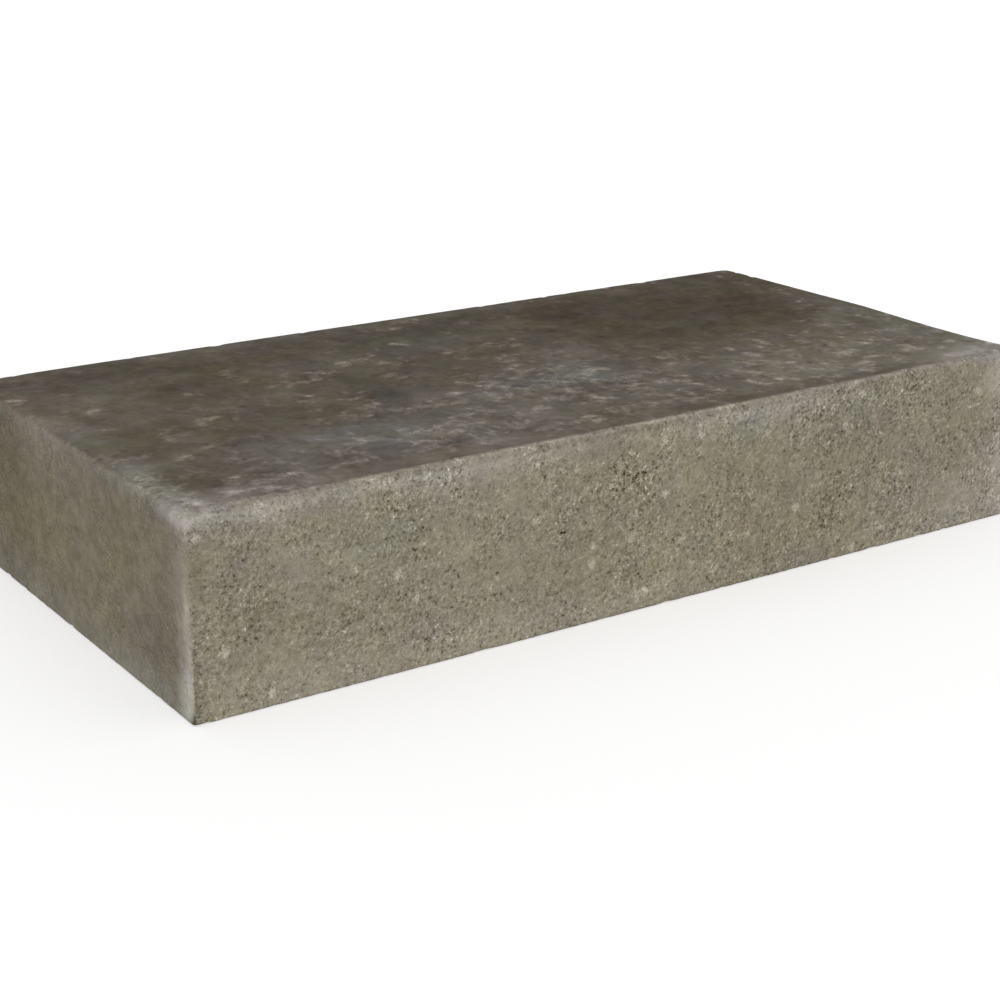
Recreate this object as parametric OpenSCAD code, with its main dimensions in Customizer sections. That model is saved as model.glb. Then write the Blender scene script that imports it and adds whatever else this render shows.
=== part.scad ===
// Concrete step block: one solid cast block for a garden step or stair.
// The tread is the upper face, the riser is the long front face and the bed is
// the underside. Length runs along X, depth along Y and height along Z, in
// millimetres, and the origin is the centre of the bed.

/* [Block] */
// Length of the step, along its front edge
block_l = 800; // [400:10:1200]
// Depth of the step, from riser to back
block_d = 400; // [300:10:500]
// Height of the step, from bed to tread
block_h = 150; // [100:5:200]

/* [Arrises] */
// Radius of the four upright arrises
upright_r = 10; // [10:1:40]
// Radius of the arris that runs round the tread
tread_r = 8; // [2:1:10]
// Radius of the arris that runs round the bed
bed_r = 2; // [1:0.5:6]

/* [Hidden] */

// Length and depth between the centres of the upright arrises
core_l = block_l - 2 * upright_r;
core_d = block_d - 2 * upright_r;
// How far a cut runs past the face it opens on
past = 1;
$fn = 64;

// What a rounded arris of radius r takes off a square corner, whose sides lie
// along +X and +Y from the arris's centre.
module arris_waste(r) {
    difference() {
        square(r + past);
        circle(r);
    }
}

// Half of an upright section through the block: it reaches from its middle to a
// face, with the tread's arris above and the bed's arris below.
module half_section(reach) {
    difference() {
        square([reach, block_h]);
        translate([reach - tread_r, block_h - tread_r])
            arris_waste(tread_r);
        translate([reach - bed_r, bed_r])
            mirror([0, 1])
                arris_waste(bed_r);
    }
}

// The whole section of a stretch of block, span wide from face to face.
module section(span) {
    half_section(span / 2);
    mirror([1, 0])
        half_section(span / 2);
}

// A stretch of block with faces at both sides, centred and run along Y.
module stretch(span, run) {
    rotate([90, 0, 0])
        linear_extrude(height = run, center = true)
            section(span);
}

// One upright arris, which turns the section through a quarter circle.
module upright_arris() {
    rotate_extrude(angle = 90)
        half_section(upright_r);
}

module step_block() {
    color([0.52, 0.49, 0.42]) {
        stretch(block_l, core_d);
        rotate([0, 0, 90])
            stretch(block_d, core_l);
        for (side = [0, 1], end = [0, 1])
            mirror([end, 0, 0])
                mirror([0, side, 0])
                    translate([core_l / 2, core_d / 2, 0])
                        upright_arris();
    }
}

step_block();
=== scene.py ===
"""Looks of the concrete step block: one cast piece, a pale floor, a soft lamp and a camera.

The block is a closed skin worked out with numpy. A band of rows and columns runs once round the
block, from its bed over the riser, the ends and the back to its tread, and two flat plates close it
below and above. The skin is then worn: its arrises are rounded more where feet and handling have
rubbed them, and its faces sink by small hollows, always inwards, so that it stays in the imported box.
Lengths are in metres unless a comment says otherwise.
"""

import logging
import math
from dataclasses import dataclass, field
from enum import Enum
from functools import cached_property

import bpy
import numpy as np
from mathutils import Matrix, Vector

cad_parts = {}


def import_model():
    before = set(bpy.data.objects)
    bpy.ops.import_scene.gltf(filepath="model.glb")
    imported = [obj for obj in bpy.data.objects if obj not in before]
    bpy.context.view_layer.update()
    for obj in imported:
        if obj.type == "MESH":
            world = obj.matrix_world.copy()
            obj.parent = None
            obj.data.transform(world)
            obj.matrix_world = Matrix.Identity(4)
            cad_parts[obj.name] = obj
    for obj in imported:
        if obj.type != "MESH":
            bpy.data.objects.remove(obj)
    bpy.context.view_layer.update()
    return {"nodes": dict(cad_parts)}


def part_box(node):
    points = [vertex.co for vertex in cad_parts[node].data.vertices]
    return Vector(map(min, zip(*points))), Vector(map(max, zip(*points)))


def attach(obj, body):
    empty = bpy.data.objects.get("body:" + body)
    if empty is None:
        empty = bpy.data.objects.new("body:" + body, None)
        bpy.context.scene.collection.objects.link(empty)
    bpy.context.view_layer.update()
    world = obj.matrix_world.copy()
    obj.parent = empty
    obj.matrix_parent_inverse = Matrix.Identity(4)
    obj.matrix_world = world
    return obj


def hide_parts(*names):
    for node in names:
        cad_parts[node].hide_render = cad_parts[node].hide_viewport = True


LOG = logging.getLogger("step_block")
WHITE = (1.0, 1.0, 1.0, 1.0)


# ---------------------------------------------------------------------------------------------
# Numbers
# ---------------------------------------------------------------------------------------------


def smooth(value: np.ndarray, low: float, high: float) -> np.ndarray:
    """Rise from 0 at low to 1 at high along an S-curve, t * t * (3 - 2 * t).

    Args:
        value: The numbers to map.
        low: Where the curve leaves 0.
        high: Where the curve reaches 1. It may be below low, and the curve then falls.

    Returns:
        The mapped numbers, from 0 to 1.
    """
    t = np.clip((value - low) / (high - low), 0.0, 1.0)
    return t * t * (3.0 - 2.0 * t)


@dataclass(frozen=True)
class Noise:
    """Random fields in space that come out the same on every run."""

    seed: int
    # How far apart the seeds of the layers lie, and how much their sum is widened
    seed_step: int = 17
    spread: float = 1.6

    def corner(self, cell: np.ndarray, salt: int = 0) -> np.ndarray:
        """Give each whole-numbered cell its own number from 0 to 1.

        The cell's three indices are multiplied by large odd numbers, joined by exclusive or and
        stirred twice by shift and multiply.

        Args:
            cell: Whole indices, with x, y and z last.
            salt: Picks one of many independent numbers for the same cell.

        Returns:
            One number for each cell.
        """
        i = cell.astype(np.int64).astype(np.uint32)
        h = i[..., 0] * np.uint32(0x8DA6B343)
        h ^= i[..., 1] * np.uint32(0xD8163841)
        h ^= i[..., 2] * np.uint32(0xCB1AB31F)
        h ^= np.uint32((self.seed * 0x9E3779B1 + salt * 0x85EBCA6B) & 0xFFFFFFFF)
        for shift, factor in ((15, 0x2C1B3C6D), (12, 0x297A2D39)):
            h ^= h >> np.uint32(shift)
            h *= np.uint32(factor)
        h ^= h >> np.uint32(15)
        return h.astype(np.float64) / 2.0**32

    def field(self, points: np.ndarray, size: float) -> np.ndarray:
        """Blend the numbers of the eight corners of the cell round each point.

        The weight along each axis is the S-curve of the point's place in its cell.

        Args:
            points: Places, with x, y and z last.
            size: The side of a cell.

        Returns:
            A smooth field from 0 to 1.
        """
        p = points / size
        base = np.floor(p)
        t = smooth(p - base, 0.0, 1.0)
        total = np.zeros(points.shape[:-1])
        for step in np.ndindex(2, 2, 2):
            side = np.array(step)
            weight = np.prod(np.where(side == 1, t, 1.0 - t), axis=-1)
            total += weight * self.corner(base + side)
        return total

    def layers(self, points: np.ndarray, size: float, count: int = 3) -> np.ndarray:
        """Add fields of half the size and half the strength each, about a mean of 0.

        The sum is divided by the layers' whole strength and widened, as it seldom nears its ends.

        Args:
            points: Places, with x, y and z last.
            size: The cell side of the coarsest field.
            count: How many fields.

        Returns:
            A field of about -0.5 to 0.5.
        """
        total = np.zeros(points.shape[:-1])
        share = 0.0
        for k in range(count):
            layer = Noise(self.seed + self.seed_step * k)
            total += (layer.field(points, size / 2**k) - 0.5) / 2**k
            share += 1.0 / 2**k
        return total * self.spread / share

    def voids(self, points: np.ndarray, cell: float, radius: tuple[float, float],
              share: np.ndarray) -> np.ndarray:
        """Cut round voids: how deep each point lies in the nearest of many scattered balls.

        Every cell of a lattice may hold one ball, at a random place in it and with a random
        radius. A point at distance d from a ball of radius r is sqrt(r * r - d * d) deep in it.

        Args:
            points: Places, with x, y and z last.
            cell: The side of a cell.
            radius: The smallest and the largest ball.
            share: For each point, the share of the cells near it that hold a ball.

        Returns:
            The depth at each point, 0 outside every ball.
        """
        home = np.floor(points / cell)
        depth = np.zeros(points.shape[:-1])
        for step in np.ndindex(3, 3, 3):
            near = home + (np.array(step) - 1)
            place = np.stack([self.corner(near, salt) for salt in (1, 2, 3)], axis=-1)
            gap = points - (near + place) * cell
            grow = self.corner(near, 4) ** 2
            size = radius[0] + (radius[1] - radius[0]) * grow
            size = np.where(self.corner(near, 5) < share, size, 0.0)
            inside = np.maximum(size * size - np.sum(gap * gap, axis=-1), 0.0)
            depth = np.maximum(depth, np.sqrt(inside))
        return depth


# ---------------------------------------------------------------------------------------------
# The block
# ---------------------------------------------------------------------------------------------


class Face(Enum):
    """The faces that carry stains, each with the two axes that run along it."""

    TREAD = (0, 1)
    RISER = (0, 2)
    LEFT_END = (1, 2)


@dataclass(frozen=True)
class Stain:
    """A soft-edged patch on one face, an ellipse with a ragged rim.

    Its place and reach run along the face: x and y on the tread, x and z on the riser, y and z on
    the left end. Light, warm and rose are colour shifts at its heart, in display levels: lighter,
    yellower and redder where above 0. Marks is how much it roughens the pattern, turn is its turn
    on the face in degrees. The higher its edge the crisper its rim, ragged is how far the rim
    strays, and square is 2 for an ellipse and higher for squarer corners.
    """

    along: float
    across: float
    reach_along: float
    reach_across: float
    light: float = 0.0
    warm: float = 0.0
    rose: float = 0.0
    marks: float = 0.0
    turn: float = 0.0
    edge: float = 3.0
    ragged: float = 1.1
    square: float = 2.0

    def weight(self, flat: np.ndarray, rim: np.ndarray) -> np.ndarray:
        """Weigh the stain at each point: exp(-(d ** edge)), d in reaches from its heart.

        Args:
            flat: Places along the face, with the two axes last.
            rim: A field about 0 that pushes the rim in and out.

        Returns:
            The stain's weight at each point, 0 to 1.
        """
        turn = math.radians(self.turn)
        du = flat[..., 0] - self.along
        dv = flat[..., 1] - self.across
        along = np.abs(du * math.cos(turn) + dv * math.sin(turn)) / self.reach_along
        across = np.abs(dv * math.cos(turn) - du * math.sin(turn)) / self.reach_across
        out = (along ** self.square + across ** self.square) ** (1.0 / self.square)
        return np.exp(-((out * (1.0 + self.ragged * rim)) ** self.edge))


@dataclass(frozen=True)
class Rub:
    """A worn stretch of the tread's arris: its radius grows by extra, and it is rubbed pale."""

    x: float
    y: float
    reach: float
    extra: float
    pale: float = 0.0

    def weight(self, plan: np.ndarray) -> np.ndarray:
        """Weigh the wear at each plan point: exp(-(distance / reach) ** 2).

        Args:
            plan: Places, with x and y first on the last axis.

        Returns:
            The share of the wear at each point.
        """
        away = np.hypot(plan[..., 0] - self.x, plan[..., 1] - self.y)
        return np.exp(-((away / self.reach) ** 2))


@dataclass(frozen=True)
class Grain:
    """How strong a face's grain is: its usual strength and how patches and marks change it."""

    usual: float
    by_patch: float
    by_marks: float
    least: float
    most: float

    def strength(self, patch: np.ndarray, marks: np.ndarray) -> np.ndarray:
        """Add by_patch times the patches and by_marks times the marks to usual, within limits.

        Args:
            patch: A slow field about 0.
            marks: The stains' own roughening.

        Returns:
            The strength at each point.
        """
        strength = self.usual + self.by_patch * patch + self.by_marks * marks
        return np.clip(strength, self.least, self.most)


@dataclass
class Skin:
    """Points, faces and the fields that the finish reads."""

    points: np.ndarray
    quads: np.ndarray
    tris: np.ndarray
    fields: dict[str, np.ndarray] = field(default_factory=dict)

    def mesh(self, name: str) -> bpy.types.Object:
        """Put the skin into a mesh object in the scene.

        Args:
            name: The object's name.

        Returns:
            The new object, at the origin, smooth shaded.
        """
        data = bpy.data.meshes.new(name)
        data.vertices.add(len(self.points))
        data.vertices.foreach_set("co", self.points.astype(np.float32).ravel())
        corners = np.concatenate([self.quads.ravel(), self.tris.ravel()]).astype(np.int32)
        data.loops.add(len(corners))
        data.loops.foreach_set("vertex_index", corners)
        quad_starts = np.arange(len(self.quads)) * 4
        tri_starts = self.quads.size + np.arange(len(self.tris)) * 3
        starts = np.concatenate([quad_starts, tri_starts]).astype(np.int32)
        data.polygons.add(len(starts))
        data.polygons.foreach_set("loop_start", starts)
        data.update(calc_edges=True)
        data.shade_smooth()
        for key, values in self.fields.items():
            layer = data.attributes.new(key, "FLOAT", "POINT")
            layer.data.foreach_set("value", values.astype(np.float32).ravel())
        if data.validate():
            raise ValueError(f"the skin of {name} has faulty faces")
        piece = bpy.data.objects.new(name, data)
        bpy.context.scene.collection.objects.link(piece)
        return piece


@dataclass
class StepBlock:
    """The cast block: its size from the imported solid, its arrises, its wear and its stains."""

    low: Vector
    high: Vector
    name: str = "worn_step_block"
    seed: int = 11
    # Radii of the upright arrises at the head and the foot, anticlockwise from the front left, and
    # the heights, as shares, between which they turn from one to the other
    upright_r: tuple[float, float, float, float] = (0.008, 0.019, 0.006, 0.009)
    foot_r: tuple[float, float, float, float] = (0.0025, 0.019, 0.006, 0.009)
    climb: tuple[float, float] = (0.10, 0.90)
    # Radius of the tread's arris, how far it wanders in and out, and over what length
    tread_r: float = 0.0052
    tread_r_stray: float = 0.0014
    tread_r_length: float = 0.060
    bed_r: float = 0.0018
    # Grid steps on the riser, the ends, the back, up the faces, on the tread and on the bed
    riser_step: float = 0.0018
    end_step: float = 0.0032
    back_step: float = 0.0050
    rise_step: float = 0.0020
    tread_step: float = 0.0050
    bed_step: float = 0.020
    # Columns round one upright arris, and rows over the bed's arris, the tread's and the margin
    turn_columns: int = 6
    bed_rows: int = 2
    arris_rows: int = 7
    margin_rows: int = 5
    # How far the band reaches on to the tread and the bed, the plan radius at its rim, and the gap
    # from there to the plates
    margin: float = 0.024
    rim_r: float = 0.004
    rim_gap: float = 0.004
    # Relief: size and depth of the slow wave, the grain and the chips on the arrises
    wave_size: float = 0.150
    wave_depth: float = 0.00030
    grain_size: float = 0.0085
    grain_depth: float = 0.00045
    least_grain: float = 0.00020
    chip_size: float = 0.012
    chip_depth: float = 0.0006
    # What is added to the wave and to the grain before all below 0 is cut off, how much weaker
    # they are on the arrises, and where in its noise a chip starts and is full
    wave_rise: float = 0.5
    grain_rise: float = 0.45
    wave_calm: float = 0.6
    grain_calm: float = 0.5
    chip_edge: tuple[float, float] = (0.20, 0.36)
    # Round voids: the lattice they lie in, the smallest and largest radius, the part that is open
    void_cell: float = 0.0080
    void_r: tuple[float, float] = (0.0009, 0.0026)
    void_open: float = 0.55
    # Share of the lattice's cells that hold a void, on the open grain, the tread and the ends, the
    # grain's strengths at which the first starts and is full, and the depth that counts as full
    void_share: tuple[float, float, float] = (0.22, 0.006, 0.008)
    void_grain: tuple[float, float] = (0.90, 1.6)
    void_full: float = 0.0022
    # How much of a rub's extra radius the tread sinks by beside it
    foot_hollow: float = 0.20
    # How far in the tread's dark skin starts behind the front arris, the left one and the others
    skin_front: float = 0.0062
    skin_left: float = -0.0010
    skin_far: float = -0.003
    # How much further in a rub pushes the dark skin's rim, in its extra radii, at those two arrises
    bare_front: float = 1.5
    bare_left: float = 2.6
    # How fast the dark skin ends over the tread's arris, for each metre of drop
    skin_drop: float = 0.8
    # Grain of the riser and the back, of the ends, of the bed and of the tread, size of its patches
    open_grain: Grain = Grain(0.95, 0.60, 0.30, 0.35, 1.6)
    close_grain: Grain = Grain(0.46, 0.45, 0.15, 0.10, 0.9)
    bed_grain: float = 1.2
    tread_grain: float = 0.9
    patch_size: float = 0.034
    # Distances from an arris at which its wear starts and is full: the tread's, the upright ones'
    # and the bed's, then those of the pale rub, of the frayed skin and of the front lip
    tread_wear: tuple[float, float] = (0.016, 0.003)
    upright_wear: tuple[float, float] = (0.013, 0.002)
    bed_wear: tuple[float, float] = (0.007, 0.001)
    rub_wear: tuple[float, float] = (0.026, 0.004)
    fray_wear: tuple[float, float] = (0.060, 0.020)
    lip_wear: tuple[float, float] = (0.014, 0.008)
    least_lip: float = 0.15
    # How much less the ends and the riser are rubbed pale than the arris itself
    end_spared: float = 0.92
    riser_spared: float = 0.35
    # Distance from the dark skin's rim beyond which it no longer counts
    skin_reach: float = 0.02
    # How far a normal leans before it counts as the tread's or the bed's, as an end's, and as one
    # of the stained upright faces'
    level_lean: tuple[float, float] = (0.45, 0.95)
    end_lean: tuple[float, float] = (0.5, 0.9)
    stain_lean: tuple[float, float] = (0.2, 0.7)
    # Size of the stains' ragged rims
    rim_size: float = 0.060
    # Rubs: x, y, reach, extra radius, how pale
    rubs: tuple[Rub, ...] = (
        Rub(-0.400, -0.200, 0.050, 0.0085, 1.0),
        Rub(-0.400, -0.135, 0.055, 0.0065, 0.20),
        Rub(-0.400, 0.020, 0.110, 0.0010, 0.15),
        Rub(-0.320, -0.200, 0.080, 0.0030, 0.32),
        Rub(0.370, -0.200, 0.060, 0.0070, 0.90),
        Rub(0.300, -0.200, 0.050, 0.0020, 0.50),
        Rub(0.400, -0.130, 0.100, 0.0065),
        Rub(-0.400, 0.200, 0.050, 0.0020),
    )
    # Stains: place and reach along and across, light, warm, rose, marks, turn, edge, ragged, square
    # Tread: dark at the back, worn lighter and more broken towards the riser
    tread_stains: tuple[Stain, ...] = (
        Stain(0.050, -0.130, 0.390, 0.080, 17, -1.0, -0.3, 0.30),
        Stain(0.235, -0.125, 0.115, 0.060, 11, 2.5, -0.8, 0.35, 8),
        Stain(0.378, -0.055, 0.028, 0.075, 13, 0.0, -3.0, 0.2),
        Stain(0.338, -0.186, 0.056, 0.016, 38, -1.5, -1.5, -0.2),
        Stain(0.355, 0.100, 0.060, 0.070, -8),
        Stain(0.190, -0.046, 0.120, 0.014, 4, 0.0, 0.0, 0.2, 3, 4.0),
        Stain(0.338, -0.018, 0.015, 0.050, 14, -1.0, -2.0, 0.1, -50),
        Stain(0.290, -0.191, 0.040, 0.008, 11, 0.0, 0.0, -0.2),
        Stain(-0.397, 0.065, 0.008, 0.042, 18, -1.0, 0.5),
        Stain(0.350, -0.172, 0.050, 0.020, 22, -2.5, -3.0, -0.2),
        Stain(0.222, 0.080, 0.130, 0.102, -15, 1.5, 0.3, -0.8, 3, 9.0, 0.3, 4.0),
        Stain(-0.150, 0.192, 0.330, 0.014, 5, -2.5, -2.0, -0.2),
        Stain(0.000, 0.145, 0.420, 0.030, -7, 0.4, 0.0, -0.25),
        Stain(-0.270, 0.060, 0.170, 0.150, 0, 0.0, 0.0, -0.40),
        Stain(-0.340, -0.182, 0.080, 0.026, 17, -1.0, 1.5, 0.2),
        Stain(-0.390, -0.138, 0.018, 0.056, 38, -1.5, -3.5, 1.4, 0.0, 4.0),
        Stain(-0.388, -0.015, 0.020, 0.085, 15, -1.0, -2.0),
        Stain(-0.380, 0.080, 0.030, 0.060, 7, 0.0, 1.0),
        Stain(0.080, -0.130, 0.100, 0.030, -6),
        Stain(0.020, -0.168, 0.100, 0.018, -5),
        Stain(-0.200, -0.075, 0.040, 0.030, 5),
        Stain(-0.030, 0.125, 0.085, 0.035, -2, -0.5, -3.0, -0.1),
        Stain(-0.355, 0.060, 0.055, 0.045, 8, 0.5, 0.0, 0.1),
        Stain(0.000, -0.015, 0.060, 0.035, 9, -1.5, 0.0, 0.3, 25),
        Stain(-0.160, -0.105, 0.150, 0.070, 1, -3.0, -0.6, 0.2, 10),
        Stain(-0.225, -0.100, 0.035, 0.022, 0, -1.0, -2.5, -0.2),
        Stain(-0.140, -0.020, 0.020, 0.020, -9, -4.0, -2.5, -0.4, 35),
        Stain(-0.165, -0.055, 0.018, 0.022, 12, -4.0, 0.0, 0.3, 50),
        Stain(-0.105, -0.070, 0.020, 0.020, 10, 0.0, 0.0, 0.6),
        Stain(-0.050, -0.055, 0.036, 0.022, 5, -4.0, -1.0, 0.8, 25),
        Stain(-0.125, 0.075, 0.026, 0.028, 5, 0.0, 0.4, 0.9),
        Stain(-0.205, 0.010, 0.016, 0.038, 4, 0.0, 0.0, 0.9),
        Stain(-0.278, 0.010, 0.014, 0.022, 4, 1.0, -0.5, 0.9),
        Stain(-0.325, -0.162, 0.048, 0.024, 6, 0.0, 0.3, 0.6),
        Stain(-0.145, -0.140, 0.038, 0.020, 4, 0.0, 0.0, 0.7),
        Stain(0.130, -0.187, 0.170, 0.007, -9, 0.5, 0.6, -0.4),
        Stain(-0.165, -0.184, 0.120, 0.014, 11, 0.0, 0.8, -0.5),
        Stain(0.020, -0.055, 0.030, 0.022, 0, 0.0, -3.0, 0.2),
        Stain(0.020, -0.130, 0.060, 0.035, 0, -0.5, 0.8, 0.5),
        Stain(-0.3975, -0.138, 0.003, 0.028, -14, -1.0, -1.0),
        Stain(-0.385, -0.147, 0.007, 0.014, 13, -1.0, -2.0),
        Stain(-0.386, -0.190, 0.006, 0.012, 12),
    )
    # Riser: paler and greyer along its head and its foot, olive in the middle, with painted shade
    # beside the front left upright arris and a thin line of painted shade along its foot
    riser_stains_and_shade: tuple[Stain, ...] = (
        Stain(-0.300, 0.146, 0.210, 0.016, 7, -3.0, -0.3),
        Stain(0.100, 0.146, 0.100, 0.014, 7, -2.5),
        Stain(0.000, 0.146, 0.420, 0.014, 0, -1.5),
        Stain(0.270, 0.140, 0.080, 0.016, -5, 0.0, 0.0, 0.2),
        Stain(-0.250, 0.1425, 0.100, 0.003, 8),
        Stain(0.070, 0.1462, 0.270, 0.0022, -7, -1.0, 0.5),
        Stain(0.020, 0.1400, 0.300, 0.004, 5),
        Stain(0.383, 0.075, 0.018, 0.100, 12, -2.0, 2.0),
        Stain(0.368, 0.130, 0.028, 0.018, 14, -1.0, 1.0),
        Stain(-0.180, 0.006, 0.280, 0.022, 8, -1.0, -0.2),
        Stain(-0.270, 0.020, 0.140, 0.020, 4),
        Stain(0.130, 0.020, 0.060, 0.020, -4),
        # The next three: painted shade on the riser beside the front left upright arris
        Stain(-0.3980, 0.004, 0.0040, 0.017, -26, -2.0, -2.0, 0.4),
        Stain(-0.3990, 0.055, 0.0040, 0.055, -14),
        Stain(-0.3960, 0.110, 0.0090, 0.018, -10),
        Stain(-0.010, 0.148, 0.050, 0.006, -8),
        # A thin line of painted shade along the riser's foot
        Stain(0.000, 0.001, 0.410, 0.0032, -7, -1.0, 0.0, 0.0, 0.0, 4.0),
        Stain(0.225, 0.144, 0.026, 0.009, -6),
        Stain(-0.330, 0.142, 0.030, 0.006, 7),
        Stain(0.050, 0.045, 0.160, 0.030, 0, 1.8, 0.5),
        Stain(0.330, 0.020, 0.090, 0.040, 10, -2.5, -0.4, -0.1),
        Stain(0.250, 0.075, 0.120, 0.050, -4, -1.0),
        Stain(0.010, 0.080, 0.180, 0.040, -1, 0.8, 0.2),
        Stain(-0.385, 0.085, 0.032, 0.055, -4, -0.5, 0.0, 0.3),
        Stain(-0.250, 0.105, 0.030, 0.020, -3, -2.0, -2.0, 0.2),
        Stain(-0.315, 0.100, 0.025, 0.018, 0, -2.0, 1.0, -0.3),
        Stain(0.200, 0.128, 0.020, 0.016, 2, -1.5, -1.5, 0.2),
        Stain(0.085, 0.132, 0.018, 0.012, 2, -2.5, -2.5, 0.2),
        Stain(-0.150, 0.018, 0.050, 0.012, 0, -1.0, 2.0),
        Stain(0.090, 0.052, 0.030, 0.016, -1, 0.0, 2.0),
        Stain(-0.035, 0.113, 0.030, 0.014, -3, 0.0, 0.0, 1.0),
        Stain(0.215, 0.105, 0.030, 0.012, -3, 0.0, 0.0, 1.0),
        Stain(0.180, 0.045, 0.025, 0.018, -3, 0.0, 0.0, 0.8),
        Stain(-0.275, 0.110, 0.014, 0.012, -3, 0.0, 0.0, 0.9),
        Stain(-0.350, 0.075, 0.012, 0.012, -3, 0.0, 0.0, 0.7),
        Stain(-0.100, 0.092, 0.016, 0.010, -3, 0.0, 0.0, 0.9),
        Stain(0.367, 0.1465, 0.020, 0.0025, -14),
        Stain(0.367, 0.1280, 0.018, 0.014, 8),
    )
    # Left end: darker far back, a brown patch low down near the riser, pale at its foot, and a painted
    # highlight beside the front left upright arris
    end_stains_and_highlight: tuple[Stain, ...] = (
        Stain(0.000, 0.075, 0.300, 0.200, -2, 1.6, 1.5, 0.3),
        Stain(-0.130, 0.045, 0.055, 0.030, -6, -2.5, 1.0, -0.1, -15),
        Stain(0.150, 0.090, 0.100, 0.090, -10, 0.5),
        Stain(-0.095, 0.095, 0.040, 0.040, -5, 1.5, 0.0, 0.1),
        Stain(0.050, 0.060, 0.160, 0.030, 1, 2.0, -0.4, 0.0, 12),
        Stain(0.120, 0.140, 0.140, 0.022, 0, -4.0, 0.8, 0.2),
        Stain(-0.100, 0.142, 0.090, 0.014, -2, -3.0),
        Stain(0.000, 0.006, 0.260, 0.020, 6, -4.0, -2.5, 0.1),
        # The next five: painted highlight on the end beside the front left upright arris, brightest
        # low down, with one dark spot at its very foot
        Stain(-0.192, 0.080, 0.010, 0.090, 18, -3.0, -1.0, 0.2),
        Stain(-0.190, 0.017, 0.015, 0.020, 46, -3.0, -1.5),
        Stain(-0.196, 0.050, 0.0060, 0.048, 22, -1.0, 0.5, 0.0, 0.0, 4.0, 0.6),
        Stain(-0.200, 0.002, 0.0055, 0.008, -60, 0.0, -1.0),
        Stain(-0.184, 0.004, 0.012, 0.006, 18, -1.0, -1.0),
        Stain(-0.176, 0.145, 0.024, 0.006, 32, -6.0, -1.0),
        Stain(-0.100, 0.143, 0.042, 0.006, 5, -4.0, -2.5),
        Stain(-0.148, 0.145, 0.014, 0.008, -8, -4.0, -1.0),
        Stain(0.145, 0.112, 0.055, 0.050, -7),
        Stain(0.070, 0.148, 0.070, 0.004, 5, -3.0, 2.0),
        Stain(-0.130, 0.006, 0.070, 0.012, 7, -3.0, -2.0),
        Stain(-0.148, 0.149, 0.020, 0.002, -10),
    )

    def half(self) -> np.ndarray:
        """Half the length and half the depth."""
        return np.array([self.high.x - self.low.x, self.high.y - self.low.y]) / 2.0

    def height(self) -> float:
        """The height from bed to tread."""
        return self.high.z - self.low.z

    def columns(self) -> tuple[np.ndarray, np.ndarray, np.ndarray, np.ndarray]:
        """Lay out the columns once round the block, anticlockwise from the front left.

        A straight stretch runs from one corner (a) to the next (b) by a share t. An upright arris
        stays at its own corner while the outward normal turns by a quarter circle.

        Returns:
            The corners a and b, the share t and the angle of the outward normal, by column.
        """
        length, depth = 2.0 * self.half()
        a, b, t, angle = [], [], [], []
        sides = ((length, self.riser_step), (depth, self.end_step),
                 (length, self.back_step), (depth, self.end_step))
        for side, (span, step) in enumerate(sides):
            count = int(round(span / step))
            a.append(np.full(count, side))
            b.append(np.full(count, (side + 1) % 4))
            t.append(np.arange(count) / count)
            angle.append(np.full(count, math.radians(90.0 * side - 90.0)))
            turned = np.arange(self.turn_columns) / self.turn_columns
            a.append(np.full(self.turn_columns, (side + 1) % 4))
            b.append(np.full(self.turn_columns, (side + 1) % 4))
            t.append(np.zeros(self.turn_columns))
            angle.append(np.radians(90.0 * side - 90.0 + 90.0 * turned))
        return np.concatenate(a), np.concatenate(b), np.concatenate(t), np.concatenate(angle)

    def outline(self, half: np.ndarray, radii: np.ndarray) -> np.ndarray:
        """Carry the columns round a rectangle with rounded corners.

        A point is the centre of the corner's arc plus the radius times the outward normal, and
        both are blended from corner a to corner b along a straight stretch.

        Args:
            half: Half the length and half the depth of the rectangle.
            radii: The radius of each corner.

        Returns:
            The plan points, by column.
        """
        a, b, t, angle = self.columns()
        signs = np.array([(-1, -1), (1, -1), (1, 1), (-1, 1)])
        centres = signs * (half - radii[:, None])
        t = t[:, None]
        centre = centres[a] * (1.0 - t) + centres[b] * t
        radius = radii[a][:, None] * (1.0 - t) + radii[b][:, None] * t
        return centre + radius * np.stack([np.cos(angle), np.sin(angle)], axis=-1)

    def rounding(self, plan: np.ndarray) -> np.ndarray:
        """Work out the tread arris's radius: its usual one, a slow field and the rubs' extra.

        Args:
            plan: Places in plan, by column.

        Returns:
            The radius, by column.
        """
        places = np.column_stack([plan, np.zeros(len(plan))])
        stray = Noise(self.seed + 1).layers(places, self.tread_r_length)
        return self.tread_r + self.tread_r_stray * stray + self.wear(plan)

    def wear(self, plan: np.ndarray) -> np.ndarray:
        """Take the greatest of the rubs' extra radii at each point.

        Args:
            plan: Places, with x and y first on the last axis.

        Returns:
            The extra radius at each point.
        """
        extra = np.zeros(len(plan))
        for rub in self.rubs:
            extra = np.maximum(extra, rub.extra * rub.weight(plan))
        return extra

    def section(self, radius: np.ndarray) -> tuple[np.ndarray, np.ndarray, np.ndarray]:
        """Work out the band's upright section for each column.

        From the bed's rim the section runs out to the bed's arris (a quarter circle), straight up
        the face, over the tread's arris (a quarter circle of the column's radius) and in to the
        tread's rim.

        Args:
            radius: The tread arris's radius, by column.

        Returns:
            Distance in from the face, height, and the angle of the normal over the level, each
            by row and column.
        """
        top = self.height()
        rows_up = int(round(top / self.rise_step))
        steps = np.linspace(0.0, 1.0, self.margin_rows + 1)
        bed_turn = np.linspace(0.0, math.pi / 2, self.bed_rows + 1)[1:]
        turn = np.linspace(0.0, math.pi / 2, self.arris_rows + 1)[1:]
        up = np.linspace(0.0, 1.0, rows_up + 1)[1:]
        flat = np.ones_like(radius)
        inset, level, angle = [], [], []

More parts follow.
